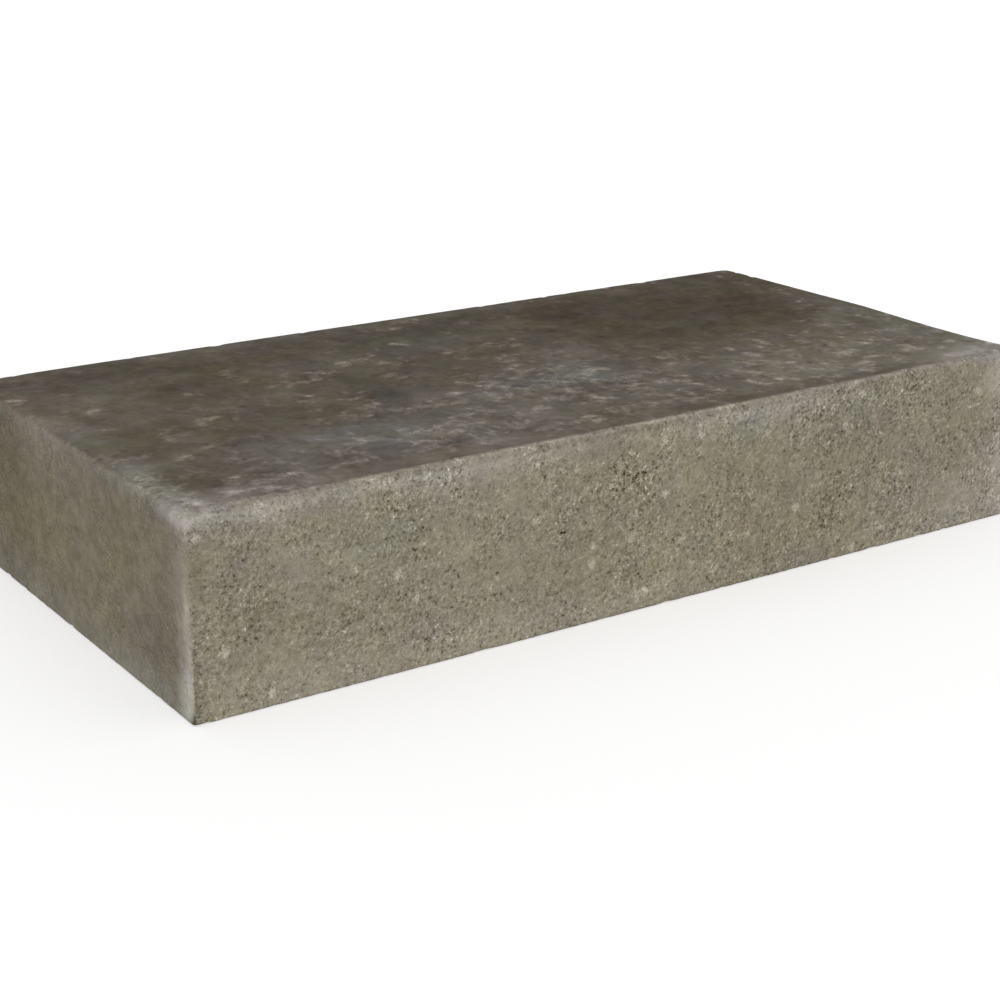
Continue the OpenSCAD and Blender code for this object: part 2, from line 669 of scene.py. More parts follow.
        def add(new_inset: np.ndarray, new_level: np.ndarray, new_angle: np.ndarray) -> None:
            """Append rows, each given by row or by row and column."""
            for rows, new in ((inset, new_inset), (level, new_level), (angle, new_angle)):
                rows.append(np.broadcast_to(new, (len(new_inset), len(radius))))

        bed_in = self.margin + (self.bed_r - self.margin) * steps
        add(bed_in[:, None] * flat, np.zeros((len(steps), 1)), np.full((len(steps), 1), -90.0))
        bed_angle = bed_turn[:, None]
        add(self.bed_r * (1.0 - np.sin(bed_angle)) * flat,
            self.bed_r * (1.0 - np.cos(bed_angle)), np.degrees(bed_angle) - 90.0)
        foot = self.bed_r
        head = top - radius
        add(np.zeros((len(up), 1)) * flat, foot + (head - foot) * up[:, None],
            np.zeros((len(up), 1)))
        turn = turn[:, None]
        add(radius * (1.0 - np.cos(turn)), head + radius * np.sin(turn), np.degrees(turn))
        in_steps = steps[1:, None]
        add(radius + (self.margin - radius) * in_steps, np.full((len(in_steps), 1), top),
            np.full((len(in_steps), 1), 90.0))
        return (np.concatenate(inset), np.concatenate(level),
                np.radians(np.concatenate(angle)))

    def band(self) -> tuple[np.ndarray, np.ndarray]:
        """Carry the section round the outline.

        The outer outline turns from the foot's to the head's as it climbs. The plan point moves
        from it towards the rim's outline by its distance in from the face as a share of the margin.

        Returns:
            Points and outward normals, by row and column.
        """
        half = self.half()
        head = self.outline(half, np.array(self.upright_r))
        foot = self.outline(half, np.array(self.foot_r))
        rim = self.outline(half - self.margin, np.full(4, self.rim_r))
        inset, level, lift = self.section(self.rounding(head))
        climb = smooth(level / self.height(), *self.climb)[..., None]
        outer = foot + (head - foot) * climb
        share = (inset / self.margin)[..., None]
        plan = outer + (rim - outer) * share
        points = np.concatenate([plan, level[..., None]], axis=-1)
        angle = self.columns()[3]
        normals = np.stack([np.cos(angle) * np.cos(lift), np.sin(angle) * np.cos(lift),
                            np.sin(lift)], axis=-1)
        return points, normals

    def plate(self, step: float, level: float) -> np.ndarray:
        """Lay a flat grid just inside the band's rim.

        Args:
            step: The grid's step.
            level: Its height.

        Returns:
            Points, by row along Y and column along X.
        """
        reach = self.half() - self.margin - self.rim_gap
        counts = np.round(2.0 * reach / step).astype(int) + 1
        xs = np.linspace(-reach[0], reach[0], counts[0])
        ys = np.linspace(-reach[1], reach[1], counts[1])
        y, x = np.meshgrid(ys, xs, indexing="ij")
        return np.stack([x, y, np.full_like(x, level)], axis=-1)

    @staticmethod
    def grid_quads(rows: int, columns: int, closed: bool) -> np.ndarray:
        """Number the quads of a grid, row by row.

        Args:
            rows: Points along the grid's first way.
            columns: Points along its second way.
            closed: Whether the last column joins the first.

        Returns:
            Four point numbers for each quad, the row's way first and anticlockwise.
        """
        r = np.arange(rows - 1)[:, None]
        c = np.arange(columns if closed else columns - 1)[None, :]
        across = (c + 1) % columns
        corners = (r * columns + c, r * columns + across,
                   (r + 1) * columns + across, (r + 1) * columns + c)
        return np.stack(np.broadcast_arrays(*corners), axis=-1).reshape(-1, 4)

    @staticmethod
    def stitch(outer: np.ndarray, outer_at: np.ndarray, inner: np.ndarray,
               inner_at: np.ndarray) -> np.ndarray:
        """Join two closed loops of different counts by one strip of triangles.

        Both loops' points are sorted by their place round the block. Each point in turn makes a
        triangle with the point before it on its own loop and the last one passed on the other.

        Args:
            outer: Point numbers of the outer loop, anticlockwise.
            outer_at: Their places round the block, rising.
            inner: Point numbers of the inner loop, anticlockwise.
            inner_at: Their places round the block, rising.

        Returns:
            Three point numbers for each triangle, anticlockwise from above.
        """
        order = np.argsort(np.concatenate([outer_at, inner_at]), kind="stable")
        is_outer = order < len(outer)
        i = np.cumsum(is_outer) - 1
        j = np.cumsum(~is_outer) - 1
        n, m = len(outer), len(inner)
        from_outer = np.stack([outer[(i - 1) % n], outer[i % n], inner[j % m]], axis=-1)
        from_inner = np.stack([inner[j % m], inner[(j - 1) % m], outer[i % n]], axis=-1)
        return np.where(is_outer[:, None], from_outer, from_inner)

    def loop_of(self, shape: tuple[int, int]) -> tuple[np.ndarray, np.ndarray]:
        """Walk round the rim of a plate's grid, anticlockwise from its front left corner.

        Args:
            shape: The grid's rows and columns.

        Returns:
            Point numbers within the plate and places round the block, from 0 to 4.
        """
        rows, columns = shape
        number = np.arange(rows * columns).reshape(rows, columns)
        walks = (number[0, :-1], number[:-1, -1], number[-1, :0:-1], number[:0:-1, 0])
        places = [side + np.arange(len(walk)) / len(walk) for side, walk in enumerate(walks)]
        return np.concatenate(walks), np.concatenate(places)

    def sides(self, normals: np.ndarray) -> dict[str, np.ndarray]:
        """Tell the faces apart by their normals.

        Args:
            normals: Outward normals of the unworn skin.

        Returns:
            Shares that add up to 1: up, down, end, and face for the riser and the back.
        """
        up = smooth(normals[..., 2], *self.level_lean)
        down = smooth(-normals[..., 2], *self.level_lean)
        end = smooth(np.abs(normals[..., 0]), *self.end_lean) * (1.0 - up - down)
        return {"up": up, "down": down, "end": end, "face": 1.0 - up - down - end}

    def roughness(self, points: np.ndarray, side: dict[str, np.ndarray],
                  marks: np.ndarray) -> np.ndarray:
        """Work out how strong the open grain is, from 0 for a smooth skin to about 1.5.

        Each face has its own usual strength, which rises and falls in patches and by the stains'
        marks: open on the riser, the back and the bed, and close on the ends.

        Args:
            points: Places on the unworn skin.
            side: The shares of the faces.
            marks: The stains' own roughening.

        Returns:
            The strength of the grain at each point.
        """
        patch = Noise(self.seed + 5).layers(points, self.patch_size, 3)
        open_grain = self.open_grain.strength(patch, marks)
        close_grain = self.close_grain.strength(patch, marks)
        return (open_grain * side["face"] + close_grain * side["end"]
                + self.bed_grain * side["down"] + self.tread_grain * side["up"])

    def relief(self, points: np.ndarray, side: dict[str, np.ndarray], rough: np.ndarray,
               arris: np.ndarray) -> tuple[np.ndarray, np.ndarray]:
        """Work out how far each point sinks into the block.

        The depth is the sum of a slow wave, a grain, the round voids of the open grain, chips on
        the arrises and a hollow where feet have worn the tread.

        Args:
            points: Places on the unworn skin.
            side: The shares of the faces.
            rough: The strength of the grain.
            arris: 1 on the arrises, 0 on the faces.

        Returns:
            The depth at each point, 0 or more, and how deep in a void it lies, from 0 to 1.
        """
        noise = Noise(self.seed)
        wave = np.clip(noise.layers(points, self.wave_size, 2) + self.wave_rise, 0.0, None)
        grain = np.clip(noise.layers(points, self.grain_size, 3) + self.grain_rise, 0.0, None)
        on_open, on_tread, on_end = self.void_share
        share = on_open * smooth(rough, *self.void_grain) * (side["face"] + side["down"])
        share += on_tread * side["up"] + on_end * side["end"]
        voids = noise.voids(points, self.void_cell, self.void_r, share)
        chips = Noise(self.seed + 9).layers(points, self.chip_size, 2)
        chips = smooth(chips, *self.chip_edge) * arris
        grain_depth = self.grain_depth * rough * (1.0 - side["up"]) + self.least_grain
        depth = self.wave_depth * wave * (1.0 - side["down"]) * (1.0 - self.wave_calm * arris)
        depth += grain_depth * grain * (1.0 - self.grain_calm * arris)
        depth += self.void_open * np.minimum(voids, self.void_r[1]) + self.chip_depth * chips
        depth += self.foot_hollow * side["up"] * self.wear(points)
        return np.maximum(depth, 0.0), np.clip(voids / self.void_full, 0.0, 1.0)

    def skin(self) -> Skin:
        """Build the whole skin: the band, the two plates and the strips that join them.

        Each point then sinks along its normal by the relief.

        Returns:
            The worn skin, with the fields that the finish reads.
        """
        points, normals = self.band()
        rows, columns = points.shape[:2]
        tread = self.plate(self.tread_step, self.height())
        bed = self.plate(self.bed_step, 0.0)
        band_quads = self.grid_quads(rows, columns, closed=True)
        tread_quads = self.grid_quads(*tread.shape[:2], closed=False)
        bed_quads = self.grid_quads(*bed.shape[:2], closed=False)[:, ::-1]
        tread_from = rows * columns
        bed_from = tread_from + tread.shape[0] * tread.shape[1]

        a, b, t, _ = self.columns()
        place = np.where((a == b) & (a == 0), 4.0, a + t)
        tread_loop, tread_at = self.loop_of(tread.shape[:2])
        bed_loop, bed_at = self.loop_of(bed.shape[:2])
        ring = np.arange(columns)
        top_strip = self.stitch((rows - 1) * columns + ring, place,
                                tread_from + tread_loop, tread_at)
        low_strip = self.stitch(ring, place, bed_from + bed_loop, bed_at)[:, ::-1]

        plates = np.concatenate([tread.reshape(-1, 3), bed.reshape(-1, 3)])
        lift = np.zeros_like(plates)
        lift[:bed_from - tread_from, 2] = 1.0
        lift[bed_from - tread_from:, 2] = -1.0
        every = np.concatenate([points.reshape(-1, 3), plates])
        normal = np.concatenate([normals.reshape(-1, 3), lift])
        fields, side = self.fields(every, normal)
        depth, fields["void"] = self.relief(every, side, fields["rough"], fields["arris"])
        worn = every - normal * depth[:, None]
        worn[:, 2] += self.low.z
        worn[:, :2] += np.array([self.low.x + self.high.x, self.low.y + self.high.y]) / 2.0
        quads = np.concatenate([band_quads, tread_from + tread_quads, bed_from + bed_quads])
        return Skin(worn, quads, np.concatenate([top_strip, low_strip]), fields)

    def stain_and_painted_light_sums(self, points: np.ndarray, normals: np.ndarray,
                   up: np.ndarray) -> dict[str, np.ndarray]:
        """Add up the stains of every face, with the painted highlight and shade among them.

        Args:
            points: Places on the unworn skin.
            normals: Outward normals there.
            up: The tread's share.

        Returns:
            The sums of light, warm, rose and marks at each point.
        """
        rim = Noise(self.seed + 3).layers(points, self.rim_size, 4)
        upright = 1.0 - up
        shares = {
            Face.TREAD: (self.tread_stains, up),
            Face.RISER: (self.riser_stains_and_shade, upright * smooth(-normals[:, 1], *self.stain_lean)),
            Face.LEFT_END: (self.end_stains_and_highlight, upright * smooth(-normals[:, 0], *self.stain_lean)),
        }
        sums = {key: np.zeros(len(points)) for key in ("light", "warm", "rose", "marks")}
        for face, (stains, share) in shares.items():
            flat = points[:, face.value]
            for stain in stains:
                weight = stain.weight(flat, rim)
                for key, total in sums.items():
                    total += getattr(stain, key) * weight * share
        return sums

    def fields(self, points: np.ndarray, normals: np.ndarray
               ) -> tuple[dict[str, np.ndarray], dict[str, np.ndarray]]:
        """Work out the fields that the finish reads.

        Args:
            points: Places on the unworn skin.
            normals: Outward normals there.

        Returns:
            The fields and the shares of the faces. The fields are arris, how near a point is to
            an arris; rub, how pale the tread's arris is rubbed; fray, how far the rubs thin the
            tread's skin; top, the tread's share; lip, 1 on the riser and the head of its arris and
            low further in; skin, how far inside the tread's dark skin a point lies, in
            millimetres; rough, the strength of the open grain; and light, warm, rose and marks,
            the sums of the stains and of the painted highlight and shade among them.
        """
        half = self.half()
        side = self.sides(normals)
        x, y, z = points.T
        in_x = half[0] - np.abs(x)
        in_y = half[1] - np.abs(y)
        drop = self.height() - z
        inward = np.minimum(in_x, in_y)
        over = np.hypot(inward, drop)
        arris = np.maximum(smooth(over, *self.tread_wear),
                           smooth(np.hypot(in_x, in_y), *self.upright_wear))
        arris = np.maximum(arris, smooth(np.hypot(inward, z), *self.bed_wear))
        rub = np.zeros(len(points))
        bare = np.zeros(len(points))
        for place in self.rubs:
            share = place.weight(points)
            rub = np.maximum(rub, place.pale * share)
            bare = np.maximum(bare, place.extra * place.pale * share)
        front = half[1] + y - self.skin_front - self.bare_front * bare
        left = half[0] + x - self.skin_left - self.bare_left * bare
        far = np.minimum(half[1] - y, half[0] - x) - self.skin_far
        skin = np.minimum(np.minimum(front, left), far) - self.skin_drop * drop
        fields = {
            "arris": arris,
            "rub": (rub * smooth(over, *self.rub_wear)
                    * (1.0 - self.end_spared * side["end"] - self.riser_spared * side["face"])),
            "fray": rub * smooth(inward, *self.fray_wear),
            "top": side["up"],
            "lip": smooth(half[1] + y, *self.lip_wear) * (1.0 - self.least_lip) + self.least_lip,
            "skin": np.clip(skin, -self.skin_reach, self.skin_reach) * 1000.0,
        }
        fields.update(self.stain_and_painted_light_sums(points, normals, side["up"]))
        fields["rough"] = self.roughness(points, side, fields["marks"])
        return fields, side

    def build(self) -> bpy.types.Object:
        """Build the worn skin as one piece and dress it in its concrete.

        Returns:
            The piece, riding on the block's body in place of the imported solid.
        """
        piece = self.skin().mesh(self.name)
        piece.data.materials.append(DryConcrete().material())
        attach(piece, "root")
        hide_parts("step_block")
        return piece


# ---------------------------------------------------------------------------------------------
# Finishes
# ---------------------------------------------------------------------------------------------


class Wiring:
    """The node tree of a material or a world, with one way to add any node."""

    def __init__(self, owner: bpy.types.Material | bpy.types.World) -> None:
        """Start with an empty tree.

        Args:
            owner: The material or the world that the nodes belong to.
        """
        owner.use_nodes = True
        self.tree = owner.node_tree
        self.tree.nodes.clear()

    @cached_property
    def place(self) -> bpy.types.NodeSocket:
        """The place on the piece, in its own metres."""
        return self.node("ShaderNodeTexCoord").outputs["Object"]

    def node(self, kind: str, settings: dict[str, object] | None = None,
             inputs: dict[str | int, object] | None = None) -> bpy.types.Node:
        """Add one node.

        Args:
            kind: The node's type.
            settings: Its properties, set before the sockets.
            inputs: A value, a socket or a Value for each input, by name or number.

        Returns:
            The node.
        """
        node = self.tree.nodes.new(kind)
        for key, setting in (settings or {}).items():
            setattr(node, key, setting)
        for key, source in (inputs or {}).items():
            source = source.socket if isinstance(source, Value) else source
            if isinstance(source, bpy.types.NodeSocket):
                self.tree.links.new(source, node.inputs[key])
            else:
                node.inputs[key].default_value = source
        return node

    def math(self, operation: str, *terms: "Value | bpy.types.NodeSocket | float") -> "Value":
        """Add a Math node.

        Args:
            operation: What it works out, in the node's own word.
            *terms: The numbers, values or sockets it works on.

        Returns:
            Its result.
        """
        inputs = dict(enumerate(terms))
        node = self.node("ShaderNodeMath", {"operation": operation}, inputs)
        return Value(self, node.outputs[0])

    def attribute(self, name: str) -> "Value":
        """Read one of the skin's fields."""
        node = self.node("ShaderNodeAttribute", {"attribute_name": name})
        return Value(self, node.outputs["Fac"])

    def beside(self, stretch: tuple[float, float, float],
               offset: tuple[float, float, float] = (0.0, 0.0, 0.0)) -> bpy.types.NodeSocket:
        """Find another place: each of x, y and z times its stretch, plus its offset.

        Args:
            stretch: What x, y and z are multiplied by.
            offset: How far the place then moves.

        Returns:
            The other place.
        """
        inputs = {0: self.place, 1: stretch, 2: offset}
        return self.node("ShaderNodeVectorMath", {"operation": "MULTIPLY_ADD"}, inputs).outputs[0]

    def noise(self, size: float, detail: float = 2.0, roughness: float = 0.5,
              distortion: float = 0.0, place: bpy.types.NodeSocket | None = None) -> "Value":
        """Add a noise about 0.

        Args:
            size: The size of its lumps.
            detail: How many finer layers it has.
            roughness: How strong the finer layers are.
            distortion: How far its lumps are bent.
            place: Where it is read, if not at the piece's own place.

        Returns:
            The noise, from about -0.5 to 0.5.
        """
        inputs = {"Vector": place or self.place, "Scale": 1.0 / size, "Detail": detail,
                  "Roughness": roughness, "Distortion": distortion}
        node = self.node("ShaderNodeTexNoise", {"noise_dimensions": "3D"}, inputs)
        return Value(self, node.outputs[0]) - 0.5

    def cells(self, size: float) -> tuple["Value", "Value"]:
        """Add a pattern of scattered cells.

        Args:
            size: The size of a cell.

        Returns:
            The distance to the cell's heart, and a number from 0 to 1 that is each cell's own.
        """
        inputs = {"Vector": self.place, "Scale": 1.0 / size}
        node = self.node("ShaderNodeTexVoronoi", {"feature": "F1"}, inputs)
        tone = self.node("ShaderNodeSeparateColor", {}, {0: node.outputs["Color"]})
        return Value(self, node.outputs["Distance"]), Value(self, tone.outputs[0])

    def mix(self, share: "Value | float", first: object, second: object) -> bpy.types.NodeSocket:
        """Blend two colours.

        Args:
            share: The second colour's share.
            first: The colour at share 0.
            second: The colour at share 1.

        Returns:
            The blended colour.
        """
        inputs = {0: share, 6: first, 7: second}
        return self.node("ShaderNodeMix", {"data_type": "RGBA"}, inputs).outputs[2]

    def shift(self, colour: tuple[float, float, float], tone: "Tone") -> bpy.types.NodeSocket:
        """Shift a display colour by so many display levels.

        Each channel is its own level plus light; warm moves levels from blue to red and green,
        rose from green to red. The sum over 255, to the power 2.2, is the linear channel.

        Args:
            colour: The display colour, 0 to 255 a channel.
            tone: The levels that it shifts by.

        Returns:
            The shifted colour.
        """
        light, warm, rose = tone.light, tone.warm, tone.rose
        shifts = (light + warm * 0.2 + rose * 0.7, light + warm * 0.2 - rose * 0.3,
                  light - warm * 0.8 - rose * 0.1)
        levels = [(shift + level).peak(20.0) * (1.0 / 255.0) for shift, level in zip(shifts, colour)]
        inputs = {i: self.math("POWER", level, 2.2) for i, level in enumerate(levels)}
        return self.node("ShaderNodeCombineColor", {}, inputs).outputs[0]


class Value:
    """A number that changes over the surface, used in plain expressions."""

    def __init__(self, wiring: Wiring, socket: bpy.types.NodeSocket) -> None:
        """Wrap a socket of a node tree."""
        self.wiring = wiring
        self.socket = socket

    def __add__(self, other: "Value | float") -> "Value":
        """Add."""
        return self.wiring.math("ADD", self, other)

    def __radd__(self, other: float) -> "Value":
        """Add to a number."""
        return self.wiring.math("ADD", other, self)

    def __sub__(self, other: "Value | float") -> "Value":
        """Subtract."""
        return self.wiring.math("SUBTRACT", self, other)

    def __rsub__(self, other: float) -> "Value":
        """Subtract from a number."""
        return self.wiring.math("SUBTRACT", other, self)

    def __mul__(self, other: "Value | float") -> "Value":
        """Multiply."""
        return self.wiring.math("MULTIPLY", self, other)

    def __rmul__(self, other: float) -> "Value":
        """Multiply a number."""
        return self.wiring.math("MULTIPLY", other, self)

    def clamp(self) -> "Value":
        """Keep the value between 0 and 1.

        Returns:
            The value, or the nearer limit where it lies outside.
        """
        settings = {"operation": "ADD", "use_clamp": True}
        node = self.wiring.node("ShaderNodeMath", settings, {0: self, 1: 0.0})
        return Value(self.wiring, node.outputs[0])

    def bold(self, base: float, gain: float) -> "Value":
        """Stretch the extremes: the value times (base + gain times its square)."""
        return self * (self * self * gain + base)

    def peak(self, other: "Value | float") -> "Value":
        """Take the larger of two values."""
        return self.wiring.math("MAXIMUM", self, other)

    def step(self, low: float, high: float) -> "Value":
        """Rise from 0 at low to 1 at high along an S-curve.

        Args:
            low: Where the curve leaves 0.
            high: Where it reaches 1. It may be below low, and the curve then falls.

        Returns:
            The mapped value.
        """
        falls = high < low
        inputs = {"Value": self, "From Min": min(low, high), "From Max": max(low, high),
                  "To Min": 1.0 if falls else 0.0, "To Max": 0.0 if falls else 1.0}
        settings = {"interpolation_type": "SMOOTHSTEP"}
        node = self.wiring.node("ShaderNodeMapRange", settings, inputs)
        return Value(self.wiring, node.outputs["Result"])


@dataclass(frozen=True)
class Tone:
    """How a display colour shifts over the surface, in display levels."""

    light: Value
    warm: Value
    rose: Value


@dataclass(frozen=True)
class Layer:
    """One layer of the concrete: its colour, and its height in millimetres."""

    colour: bpy.types.NodeSocket
    height: Value


@dataclass(frozen=True)
class Patterns:
    """What both layers of the concrete read: the stains with the painted highlight and shade among
    them, the wear and the finest noise.
    """

    stain: Tone
    fine: Value
    rub: Value
    fray: Value
    edge: Value


@dataclass(frozen=True)
class DryConcrete:
    """Dry-cast concrete: an open grain on the upright faces, a close dark skin on the tread.

    Colours are display levels, 0 to 255 a channel. The open grain is a noise less a copy of itself
    a little towards the lamp, so that each grain has painted light on the flank facing it and painted
    shade on the other.
    """

    body: tuple[float, float, float] = (132, 126, 109)
    skin: tuple[float, float, float] = (93, 86, 76)
    matt: float = 0.95
    sheen_of_skin: float = 0.12
    specular: float = 0.10
    bump: float = 0.6
    bump_depth: float = 0.0010
    # Sizes of the patterns, from the finest up
    sand_size: float = 0.0032
    fine_size: float = 0.0046
    grain_size: float = 0.0066
    speck_size: float = 0.0075
    rub_size: float = 0.011
    blotch_size: float = 0.013
    rim_size: float = 0.014
    pebble_size: float = 0.017
    crust_size: float = 0.019
    soft_size: float = 0.022
    patch_size: float = 0.024
    highlight_break_size: float = 0.030
    zone_size: float = 0.038
    cloud_size: float = 0.055
    drift_size: float = 0.060
    # The grain is drawn out along the ends, and the copy whose difference paints light and shade on
    # its flanks lies this far beside it, towards the lamp, with this share
    grain_stretch: tuple[float, float, float] = (1.0, 0.78, 1.0)
    painted_relief_offset: tuple[float, float, float] = (-0.0010, -0.0008, 0.0007)
    painted_relief_share: float = 0.6
    # Display levels by which the parts of the open grain lighten the body, or darken it; painted among
    # them are light and shade on the grain's flanks, a glint, a highlight over the arris and shade in
    # the voids
    drift_light: float = 28.0
    grain_and_painted_relief_light: float = 73.0
    glint_light: float = 10.0
    pebble_light: float = 30.0
    painted_highlight_light: float = 20.0
    rub_light: float = 13.0
    arris_light: float = 3.0
    void_painted_shade: float = 10.0
    # The same for the parts of the tread's skin, with painted shadow beside the crusts and painted
    # shade in the pits among them
    cloud_light: float = 52.0
    soft_light: float = 38.0
    fine_light: float = 21.0
    crust_light: float = 185.0
    thick_crust_light: float = 560.0
    fray_light: float = 8.0
    gap_painted_shadow: float = 88.0
    speck_dark: float = 10.0
    pit_painted_shade: float = 16.0
    # How far the colour strays, warm and rose, on the body and on the skin, and over what sizes
    body_stray: tuple[float, float] = (16.0, 11.5)
    body_stray_size: tuple[float, float] = (0.030, 0.022)
    skin_stray: tuple[float, float] = (17.0, 12.0)
    skin_stray_size: tuple[float, float] = (0.042, 0.038)
    # How far inside the skin's rim, in millimetres, it starts and is whole
    skin_rim: tuple[float, float] = (-1.4, 2.0)

    def material(self) -> bpy.types.Material:
        """Wire the finish: the body's grain under the tread's skin, which thins where rubbed.

        Returns:
            The material.
        """
        material = bpy.data.materials.new("dry_concrete")
        w = Wiring(material)
        on = self.patterns(w)
        body = self.body_layer(w, on)
        skin = self.skin_layer(w, on)
        soft = (1.0 - on.fray * 0.75) * (w.attribute("lip") * 0.65 + 0.35)
        on_skin = (on.edge * soft).step(*self.skin_rim) * (1.0 - on.rub * 0.6)
        relief = body.height * (1.0 - on_skin) + skin.height * on_skin
        bump = w.node("ShaderNodeBump", {}, {
            "Strength": self.bump, "Distance": self.bump_depth, "Height": relief})
        shader = w.node("ShaderNodeBsdfPrincipled", {}, {
            "Base Color": w.mix(on_skin, body.colour, skin.colour),
            "Roughness": self.matt - self.sheen_of_skin * on_skin,
            "Specular IOR Level": self.specular,
            "Normal": bump.outputs[0]})
        w.node("ShaderNodeOutputMaterial", {}, {0: shader.outputs[0]})
        return material

    def patterns(self, w: Wiring) -> Patterns:
        """Read the block's fields and lay the noise that both layers share.

        Args:
            w: The material's nodes.

        Returns:
            The shared patterns.
        """
        fine = w.noise(self.fine_size, 2.0, 1.0)
        stain = Tone(w.attribute("light"), w.attribute("warm"), w.attribute("rose"))
        worn = w.attribute("rub")
        rub = worn * 1.3 + w.noise(self.rub_size, 3.0, 0.8) * 1.5
        rub = rub.step(0.42, 1.02) * worn.step(0.05, 0.3)
        fray = w.attribute("fray")
        stray = w.noise(self.rim_size, 2.0, 0.7) * (fray * 46.0 + 1.8)
        edge = w.attribute("skin") + fine * (fray * 22.0 + 2.5) + stray
        return Patterns(stain, fine, rub, fray, edge)

    def body_layer(self, w: Wiring, on: Patterns) -> Layer:
        """Lay the open grain of the riser, the back and the ends.

        Args:
            w: The material's nodes.
            on: The patterns that both layers share.

        Returns:
            The layer.
        """
        top = w.attribute("top")
        side = 1.0 - top
        rough = w.attribute("rough") * (1.0 - on.rub * 0.2)
        rough = (rough + w.noise(self.patch_size, 2.0, 0.6) * 1.3).peak(0.15)
        here = w.beside(self.grain_stretch)
        flank = w.beside(self.grain_stretch, self.painted_relief_offset)
        raised = w.noise(self.grain_size, 3.0, 0.95, place=here)
        # The grain less its copy towards the lamp: its own tone with painted light and shade on its
        # flanks
        grain_with_painted_relief = raised - w.noise(self.grain_size, 3.0, 0.95, place=flank) * self.painted_relief_share
        grain_with_painted_relief = grain_with_painted_relief.bold(0.9, 50.0)
        sand = w.noise(self.sand_size, 1.0, 0.8, place=here).bold(0.8, 25.0)
        reach, kind = w.cells(self.pebble_size)
        pebble = (reach + on.fine * 0.8).step(0.24, 0.15) * kind.step(0.80, 0.83)
        pebble = pebble * rough.step(0.5, 0.8)
        blotch = w.noise(self.blotch_size, 2.0, 0.8, place=here)
        blotch = blotch * (70.0 - rough * 45.0).peak(16.0)
        # A thin painted highlight over the tread's arris, a few millimetres outside the dark skin's
        # rim, broken in places and strongest along the front
        painted_highlight = on.edge.step(-6.0, -4.2) * on.edge.step(-1.4, -2.8)
        broken = (w.noise(self.highlight_break_size, 2.0, 0.6) * 4.0 + 0.6).clamp()
        painted_highlight = painted_highlight * broken * w.attribute("lip")
        warm_stray = w.noise(self.body_stray_size[0], 3.0, 0.8) * self.body_stray[0]
        rose_stray = w.noise(self.body_stray_size[1], 3.0, 0.8) * self.body_stray[1]
        drift = w.noise(self.drift_size, 3.0, 0.9)
        light = on.stain.light * side - top * 2.0 + drift * self.drift_light
        light = light + blotch
        light = light + (grain_with_painted_relief * self.grain_and_painted_relief_light + sand * (rough * 48.0 + 4.0)) * rough
        # Painted glint on the flanks that face the lamp
        light = light + grain_with_painted_relief.peak(0.0) * rough * self.glint_light
        light = light + on.fine * (rough * 4.0 + 16.0)
        light = light + pebble * self.pebble_light + painted_highlight * self.painted_highlight_light
        light = light + on.rub * self.rub_light + 2.0
        light = light + w.attribute("arris") * self.arris_light
        # Painted shade in the round voids
        light = light - w.attribute("void") * self.void_painted_shade
        warm = on.stain.warm * side - top * 4.0 + warm_stray - on.rub * 5.5 - 0.6
        rose = on.stain.rose * side + top * 1.6 + rose_stray - on.rub * 3.0
        colour = w.shift(self.body, Tone(light, warm, rose))
        return Layer(colour, (raised * 3.0 + sand * 1.6) * rough + pebble * 0.3)

    def skin_layer(self, w: Wiring, on: Patterns) -> Layer:
        """Lay the close dark skin of the tread, with pale crusts in broken patches and painted shadow
        beside them.

        Args:
            w: The material's nodes.
            on: The patterns that both layers share.

        Returns:
            The layer.
        """
        cloud = w.noise(self.cloud_size, 3.0, 0.8, 0.4)
        soft = w.noise(self.soft_size, 2.0, 0.7, 0.5)
        zone = w.noise(self.zone_size, 3.0, 0.6) + w.attribute("marks") * 0.22
        zone = zone.step(-0.03, 0.15) * 0.92 + 0.08
        grain = w.noise(self.crust_size, 4.0, 0.80)
        crust = (grain + 0.01).peak(0.0) * zone
        # Painted shadow beside the raised crusts, where their noise falls below 0
        painted_gap_shadow = (0.0 - grain).peak(0.0) * zone
        specks = (zone * 0.08 - w.noise(self.speck_size, 2.0, 0.7)).step(0.150, 0.195)
        warm_stray = w.noise(self.skin_stray_size[0], 1.0, 0.6) * self.skin_stray[0]
        rose_stray = w.noise(self.skin_stray_size[1], 1.0, 0.6) * self.skin_stray[1]
        light = on.stain.light + cloud * self.cloud_light + soft * self.soft_light
        # Painted shade in the voids' pits on the tread
        light = light + on.fine * self.fine_light - w.attribute("void") * self.pit_painted_shade - 5.0
        light = light + crust * (crust * self.thick_crust_light + self.crust_light)
        light = light - painted_gap_shadow * self.gap_painted_shadow - specks * self.speck_dark
        light = light + on.fray * self.fray_light
        warm = on.stain.warm + warm_stray - on.fray * 1.5 + 1.4
        rose = on.stain.rose + rose_stray + 0.3
        colour = w.shift(self.skin, Tone(light, warm, rose))
        return Layer(colour, on.fine * 0.5 + crust * 3.0 - specks * 0.8)


